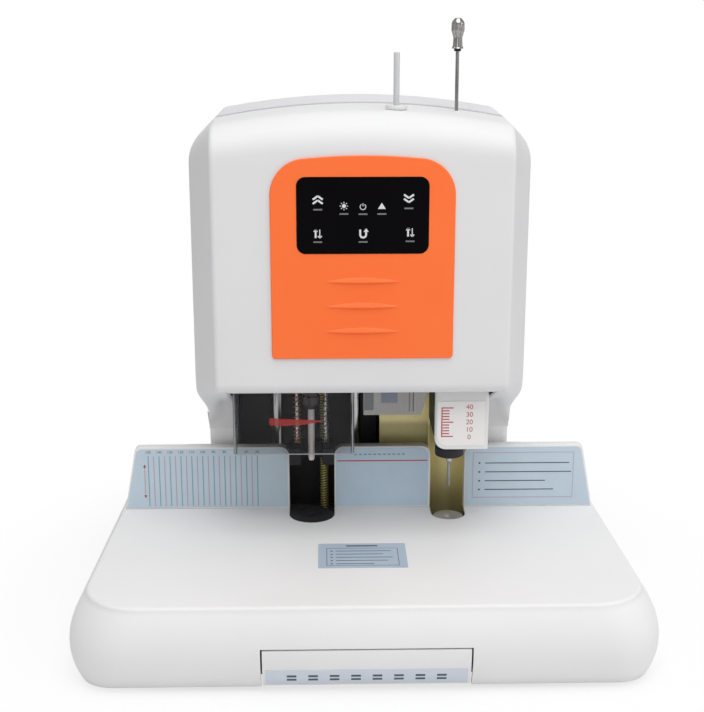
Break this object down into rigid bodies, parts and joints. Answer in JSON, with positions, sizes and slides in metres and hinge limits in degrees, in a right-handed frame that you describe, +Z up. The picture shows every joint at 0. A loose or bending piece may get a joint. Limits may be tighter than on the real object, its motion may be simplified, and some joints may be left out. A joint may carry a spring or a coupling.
{
  "type": "document riveting machine",
  "caption": "Desk press with a wide base, back fence and box head that drills a paper stack and melts a plastic tube rivet through it.",
  "frame": {"origin": "middle of the footprint, on the table", "axes": "+X to the right and +Y to the back as the user sees the machine, +Z up"},
  "size_m": [0.4766, 0.412, 0.513],
  "materials": {
    "cover_white": "fine moulded texture, satin",
    "panel_orange": "smooth satin-gloss moulding",
    "window_black": "polished tinted acrylic",
    "guard_clear": "smoky clear acrylic sheet",
    "printed_film": "pale blue printed film",
    "bed_steel": "machined steel",
    "frame_zinc": "yellow zinc plated sheet steel",
    "posts_chrome": "ground and chromed",
    "runner_steel": "folded steel strip",
    "feet_rubber": "black rubber",
    "black_parts": "black moulded plastic",
    "pad_nylon": "black nylon cutting pad",
    "heater_brass": "turned brass",
    "bush_bronze": "sintered bronze",
    "carriage_alloy": "dark anodised casting",
    "bearing_steel": "ground bearing steel",
    "spring_steel": "drawn spring wire",
    "motor_grey": "painted motor case",
    "pulley_alloy": "turned aluminium",
    "belt_rubber": "flat rubber belt",
    "spindle_dark": "blackened steel",
    "tube_white": "translucent white nylon tube",
    "board_green": "circuit board",
    "transformer_dark": "varnished laminations",
    "screw_zinc": "zinc plated screws"
  },
  "bodies": {
    "root": {"base_top_cover": "cover_white", "fence_panels": "cover_white", "neck_cover": "cover_white", "head_front_cover": "cover_white", "head_rear_cover": "cover_white", "ram_shroud": "cover_white", "front_panel": "panel_orange", "display_window": "window_black", "drill_guard": "guard_clear", "printed_sheets": "printed_film", "die_beam": "bed_steel", "base_plate": "bed_steel", "upper_bridge": "bed_steel", "head_floor_plate": "bed_steel", "cutter_block": "bed_steel", "side_plates": "frame_zinc", "rivet_backplate": "frame_zinc", "guide_posts": "posts_chrome", "lower_die": "posts_chrome", "drawer_runners": "runner_steel", "rubber_feet": "feet_rubber", "drill_pad_holder": "black_parts", "drill_back_shield": "black_parts", "power_inlet": "black_parts", "drill_pad": "pad_nylon", "lower_die_heater": "heater_brass", "ram_guide_bush": "bush_bronze", "tube_guide": "bearing_steel", "feed_motors": "motor_grey", "cutter_solenoid": "motor_grey", "top_bushes": "tube_white", "control_board": "board_green", "power_board": "board_green", "transformer": "transformer_dark", "guard_screws": "screw_zinc"},
    "drill_carriage": {"drill_carriage": "carriage_alloy", "drill_lead_nut": "heater_brass", "spindle_bearings": "bearing_steel", "drill_motor": "motor_grey", "drill_belt": "belt_rubber"},
    "drill_spindle": {"spindle": "spindle_dark", "spindle_pulley": "pulley_alloy", "drill_bit": "posts_chrome"},
    "motor_shaft": {"motor_pulley": "pulley_alloy"},
    "press_foot": {"press_foot": "black_parts", "press_foot_rods": "bearing_steel", "press_foot_springs": "spring_steel"},
    "drill_screw": {"drill_lead_screw": "frame_zinc"},
    "rivet_screw": {"rivet_lead_screw": "frame_zinc"},
    "rivet_slide": {"rivet_carriage": "carriage_alloy", "rivet_lead_nut": "heater_brass", "rivet_ram": "bearing_steel", "ram_collar": "black_parts"},
    "locating_rod": {"locating_rod": "posts_chrome", "rod_knob": "posts_chrome"},
    "rivet_tube": {"rivet_tube": "tube_white"},
    "tube_cutter": {"cutter_blade": "bed_steel", "cutter_plunger": "bed_steel"},
    "scrap_drawer": {"scrap_drawer": "cover_white"},
    "power_rocker": {"power_rocker": "black_parts"}
  },
  "joints": [
    {"name": "drill_lift", "type": "slide", "parent": "root", "child": "drill_carriage", "axis": [0, 0, -1], "range_m": [0, 0.052]},
    {"name": "drill_spin", "type": "hinge", "parent": "drill_carriage", "child": "drill_spindle", "pos_m": [-0.044, -0.005, 0.245], "axis": [0, 0, 1], "continuous": true},
    {"name": "motor_spin", "type": "hinge", "parent": "drill_carriage", "child": "motor_shaft", "pos_m": [-0.088, -0.005, 0.297], "axis": [0, 0, 1], "continuous": true},
    {"name": "press_foot_slide", "type": "slide", "parent": "drill_carriage", "child": "press_foot", "axis": [0, 0, 1], "range_m": [0, 0.045], "stiffness_N_per_m": 300, "springref_m": -0.02, "deforming": ["press_foot_springs"]},
    {"name": "drill_screw_turn", "type": "hinge", "parent": "root", "child": "drill_screw", "pos_m": [-0.0325, 0.034, 0.2], "axis": [0, 0, 1], "range_deg": [-10, 3760]},
    {"name": "rivet_lift", "type": "slide", "parent": "root", "child": "rivet_slide", "axis": [0, 0, -1], "range_m": [0, 0.052]},
    {"name": "rivet_screw_turn", "type": "hinge", "parent": "root", "child": "rivet_screw", "pos_m": [0.08, 0.054, 0.2], "axis": [0, 0, 1], "range_deg": [-10, 3760]},
    {"name": "rod_slide", "type": "slide", "parent": "root", "child": "locating_rod", "axis": [0, 0, 1], "range_m": [-0.034, 0.1]},
    {"name": "tube_feed", "type": "slide", "parent": "root", "child": "rivet_tube", "axis": [0, 0, 1], "range_m": [0, 0.25]},
    {"name": "cutter_pull", "type": "slide", "parent": "root", "child": "tube_cutter", "axis": [0, -1, 0], "range_m": [0, 0.009], "stiffness_N_per_m": 200, "springref_m": -0.003},
    {"name": "drawer_slide", "type": "slide", "parent": "root", "child": "scrap_drawer", "axis": [0, -1, 0], "range_m": [0, 0.18]},
    {"name": "power_switch", "type": "hinge", "parent": "root", "child": "power_rocker", "pos_m": [0.06, 0.1466, 0.116], "axis": [0, 0, 1], "range_deg": [0, 12]}
  ],
  "couplings": [
    {"joint": "motor_spin", "follows": "drill_spin", "ratio": 1},
    {"joint": "drill_screw_turn", "follows": "drill_lift", "rad_per_m": 1256.6},
    {"joint": "rivet_screw_turn", "follows": "rivet_lift", "rad_per_m": 1256.6}
  ]
}
